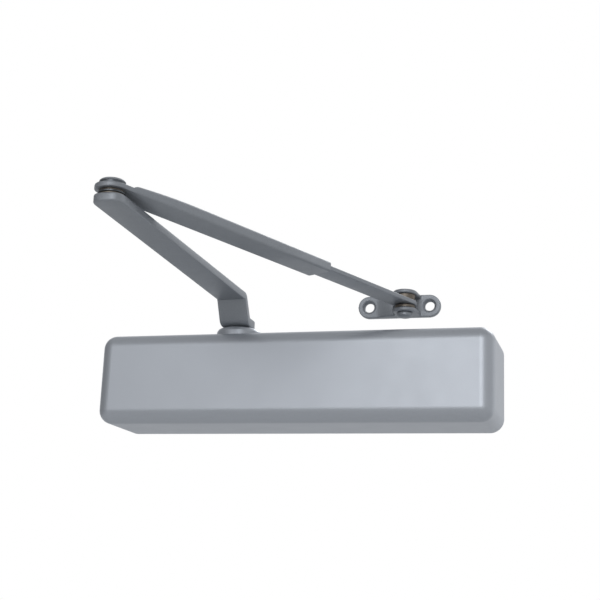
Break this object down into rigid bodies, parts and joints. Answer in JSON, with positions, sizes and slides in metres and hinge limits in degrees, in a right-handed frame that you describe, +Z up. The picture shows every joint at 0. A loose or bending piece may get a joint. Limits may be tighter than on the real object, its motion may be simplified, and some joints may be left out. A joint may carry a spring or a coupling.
{
  "type": "door closer",
  "caption": "Surface-mounted hydraulic door closer with a full slab cover and a regular double-lever arm that ends in a frame shoe.",
  "frame": {"origin": "on the door's face, at the middle of the cover's length and height", "axes": "+X to the right along the cover, +Y into the door, +Z up"},
  "size_m": [0.318, 0.3008, 0.1162],
  "materials": {
    "cover_enamel": "smooth satin silver-grey paint on pressed steel",
    "arm_enamel": "satin grey paint on forged and drawn steel",
    "cast_housing": "bare grey iron casting, machined where it seats",
    "bright_steel": "machined steel with light oil",
    "zinc_steel": "zinc-plated screw steel",
    "spring_steel": "oil-tempered spring wire",
    "oiled_bronze": "dark oiled sintered bronze",
    "seal_rubber": "black nitrile rubber"
  },
  "bodies": {
    "body": {"closer_body": "cast_housing", "cover": "cover_enamel", "cover_screw_left": "zinc_steel", "cover_screw_right": "zinc_steel", "barrel_plug_left": "bright_steel", "barrel_plug_right": "bright_steel", "plug_ring_left": "seal_rubber", "plug_ring_right": "seal_rubber", "upper_bearing": "oiled_bronze", "lower_bearing": "oiled_bronze", "upper_shaft_seal": "seal_rubber", "lower_shaft_seal": "seal_rubber", "spindle_cap": "cover_enamel", "lower_bearing_cap": "bright_steel", "main_spring": "spring_steel", "inner_spring": "spring_steel"},
    "spindle": {"pinion_shaft": "bright_steel", "main_arm": "arm_enamel", "arm_screw": "zinc_steel", "arm_washer": "zinc_steel", "elbow_pin": "bright_steel", "elbow_lower_washer": "oiled_bronze", "elbow_middle_washer": "zinc_steel", "elbow_upper_washer": "oiled_bronze", "elbow_cap": "arm_enamel"},
    "piston": {"rack_piston": "bright_steel", "piston_ring": "seal_rubber", "check_ball": "bright_steel", "check_valve_cage": "oiled_bronze"},
    "forearm": {"forearm_tube": "arm_enamel", "clamp_screw_1": "zinc_steel", "clamp_screw_2": "zinc_steel"},
    "rod": {"forearm_rod": "arm_enamel"},
    "shoe": {"frame_shoe": "arm_enamel", "shoe_rivet": "arm_enamel", "shoe_lower_washer": "oiled_bronze", "shoe_upper_washer": "oiled_bronze"},
    "adjuster": {"power_adjuster": "bright_steel"},
    "seat": {"spring_seat": "bright_steel"},
    "sweep_screw": {"sweep_valve": "zinc_steel"},
    "latch_screw": {"latch_valve": "zinc_steel"},
    "backcheck_screw": {"backcheck_valve": "zinc_steel"}
  },
  "joints": [
    {"name": "spindle_hinge", "type": "hinge", "parent": "body", "child": "spindle", "pos_m": [-0.0506, -0.034, 0.0443], "axis": [0, 0, 1], "range_deg": [-10, 180], "stiffness_Nm_per_rad": 1.5},
    {"name": "piston_slide", "type": "slide", "parent": "body", "child": "piston", "axis": [1, 0, 0], "range_m": [-0.0016, 0.0276], "deforming": ["main_spring", "inner_spring"]},
    {"name": "elbow_hinge", "type": "hinge", "parent": "spindle", "child": "forearm", "pos_m": [-0.0495, -0.2897, 0.0743], "axis": [0, 0, -1], "range_deg": [-10, 130]},
    {"name": "rod_slide", "type": "slide", "parent": "forearm", "child": "rod", "axis": [0.4365, 0.899, -0.0349], "range_m": [-0.06, 0.05]},
    {"name": "shoe_hinge", "type": "hinge", "parent": "rod", "child": "shoe", "pos_m": [0.0825, -0.01785, 0.06595], "axis": [0, 0, 1], "range_deg": [-45, 45]},
    {"name": "seat_slide", "type": "slide", "parent": "body", "child": "seat", "axis": [-1, 0, 0], "range_m": [0, 0.00875]},
    {"name": "adjuster_turn", "type": "hinge", "parent": "body", "child": "adjuster", "pos_m": [0.1363, -0.034, 0], "axis": [1, 0, 0], "range_deg": [0, 1800]},
    {"name": "sweep_turn", "type": "hinge", "parent": "body", "child": "sweep_screw", "pos_m": [-0.118, -0.034, -0.0323], "axis": [0, 0, -1], "range_deg": [0, 360]},
    {"name": "latch_turn", "type": "hinge", "parent": "body", "child": "latch_screw", "pos_m": [-0.105, -0.034, -0.0323], "axis": [0, 0, -1], "range_deg": [0, 360]},
    {"name": "backcheck_turn", "type": "hinge", "parent": "body", "child": "backcheck_screw", "pos_m": [-0.092, -0.034, -0.0323], "axis": [0, 0, -1], "range_deg": [0, 360]}
  ],
  "couplings": [
    {"joint": "piston_slide", "follows": "spindle_hinge", "m_per_rad": 0.00875},
    {"joint": "adjuster_turn", "follows": "seat_slide", "rad_per_m": 3590.4}
  ]
}
